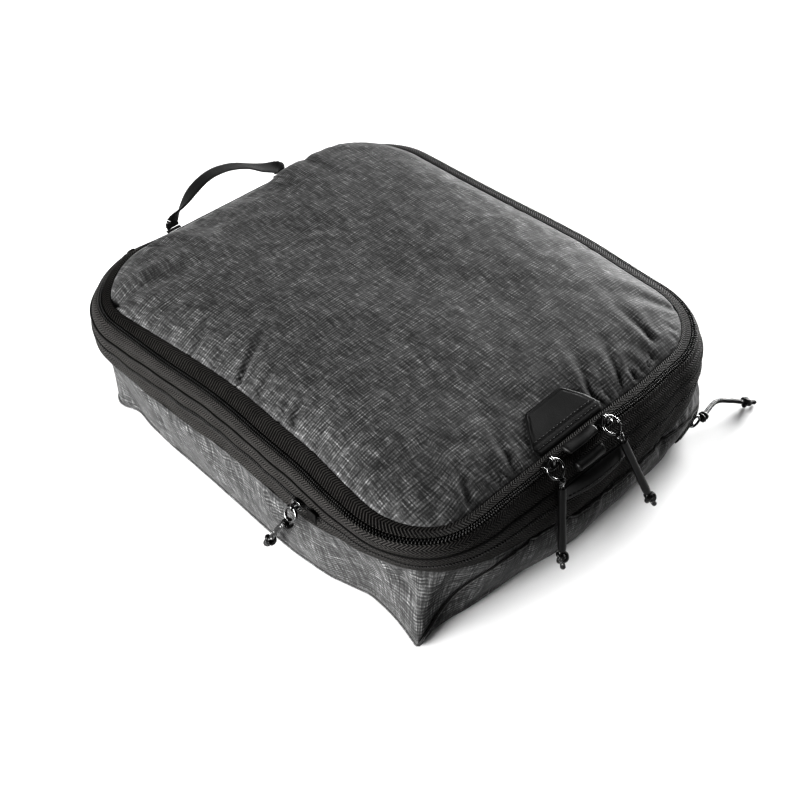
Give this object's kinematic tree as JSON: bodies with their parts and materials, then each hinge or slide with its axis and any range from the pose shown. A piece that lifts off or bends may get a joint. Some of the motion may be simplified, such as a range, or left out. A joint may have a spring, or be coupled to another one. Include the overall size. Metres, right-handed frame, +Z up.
{
  "type": "packing cube",
  "caption": "Soft zipped packing cube with a domed lid, an expansion zip, a divided lower shell, a rear grab handle and knotted cord pulls.",
  "frame": {"origin": "middle of the flat base, on the surface that the cube stands on", "axes": "+X to the right as seen from the label side, +Y from the label side to the handle side, +Z up"},
  "size_m": [0.3387, 0.401, 0.1],
  "materials": {
    "heather_fabric": "melange ripstop weave, matte with fine pale slubs",
    "lining_fabric": "plain light nylon, matte",
    "zip_tape": "black herringbone tape, matte",
    "zip_coil": "black nylon coil with stitch rows",
    "webbing": "black ribbed webbing",
    "coated_patch": "black coated fabric, satin matte",
    "black_metal": "gloss black plated",
    "pull_cord": "black braid with pale flecks",
    "pull_sleeve": "black shrunk tube, satin"
  },
  "bodies": {
    "lower_shell": {"bottom_panel": "lining_fabric", "side_wall": "heather_fabric", "bottom_binding": "zip_tape", "divider_panel": "lining_fabric", "expansion_gusset": "lining_fabric", "compression_tape_lower": "zip_tape", "compression_coil_lower": "zip_coil", "compression_end_tab": "zip_tape", "access_zip_tape": "zip_tape", "access_zip_coil": "zip_coil"},
    "collar": {"compression_tape_upper": "zip_tape", "compression_coil_upper": "zip_coil", "ridge_piping": "zip_tape", "main_tape_lower": "zip_tape", "main_coil_lower": "zip_coil", "lower_grab_tab": "coated_patch", "zip_garage": "coated_patch", "main_zip_end_left": "zip_tape", "main_zip_end_right": "zip_tape", "handle_tack_left": "webbing", "handle_tack_right": "webbing"},
    "lid": {"top_panel": "heather_fabric", "lid_seam_binding": "zip_tape", "main_tape_upper": "zip_tape", "main_coil_upper": "zip_coil", "label_patch": "coated_patch", "upper_grab_tab": "coated_patch"},
    "handle": {"handle_webbing": "webbing"},
    "main_slider_left": {"main_slider_body_left": "black_metal"},
    "main_slider_right": {"main_slider_body_right": "black_metal"},
    "main_pull_left": {"main_pull_left_ring": "black_metal", "main_pull_left_cord": "pull_cord", "main_pull_left_sleeve": "pull_sleeve", "main_pull_left_knot": "pull_cord"},
    "main_pull_right": {"main_pull_right_ring": "black_metal", "main_pull_right_cord": "pull_cord", "main_pull_right_sleeve": "pull_sleeve", "main_pull_right_knot": "pull_cord"},
    "compression_slider": {"compression_slider_body": "black_metal"},
    "compression_pull": {"compression_pull_ring": "black_metal", "compression_pull_cord": "pull_cord", "compression_pull_knot": "pull_cord"},
    "access_slider": {"access_slider_body": "black_metal"},
    "access_pull": {"access_pull_ring": "black_metal", "access_pull_cord": "pull_cord", "access_pull_knot": "pull_cord"}
  },
  "joints": [
    {"name": "expand", "type": "slide", "parent": "lower_shell", "child": "collar", "axis": [0, 0, 1], "range_m": [0, 0.045], "deforming": ["expansion_gusset"]},
    {"name": "lid_open", "type": "hinge", "parent": "collar", "child": "lid", "pos_m": [0, 0.173, 0.0843], "axis": [-1, 0, 0], "range_deg": [0, 100]},
    {"name": "handle_swing", "type": "hinge", "parent": "collar", "child": "handle", "pos_m": [0.0005, 0.184, 0.0749], "axis": [-1, 0, 0], "range_deg": [0, 120]},
    {"name": "main_zip_left", "type": "slide", "parent": "lid", "child": "main_slider_left", "axis": [-1, 0, 0], "range_m": [0, 0.036]},
    {"name": "main_zip_right", "type": "slide", "parent": "lid", "child": "main_slider_right", "axis": [1, 0, 0], "range_m": [0, 0.066]},
    {"name": "main_pull_left_lift", "type": "hinge", "parent": "main_slider_left", "child": "main_pull_left", "pos_m": [-0.04, -0.174, 0.089], "axis": [-1, 0, 0], "range_deg": [0, 120]},
    {"name": "main_pull_right_lift", "type": "hinge", "parent": "main_slider_right", "child": "main_pull_right", "pos_m": [0.01, -0.174, 0.089], "axis": [-1, 0, 0], "range_deg": [0, 110]},
    {"name": "compression_zip", "type": "slide", "parent": "lower_shell", "child": "compression_slider", "axis": [0, 1, 0], "range_m": [0, 0.17]},
    {"name": "compression_pull_lift", "type": "hinge", "parent": "compression_slider", "child": "compression_pull", "pos_m": [-0.15591, -0.075, 0.058], "axis": [0, 1, 0], "range_deg": [0, 110]},
    {"name": "access_zip", "type": "hinge", "parent": "lower_shell", "child": "access_slider", "pos_m": [0.09943, -0.12674, 0.015], "axis": [0, 0, 1], "range_deg": [0, 66]},
    {"name": "access_pull_swing", "type": "hinge", "parent": "access_slider", "child": "access_pull", "pos_m": [0.11081, -0.18029, 0.015], "axis": [0, 0, -1], "range_deg": [0, 80]}
  ]
}
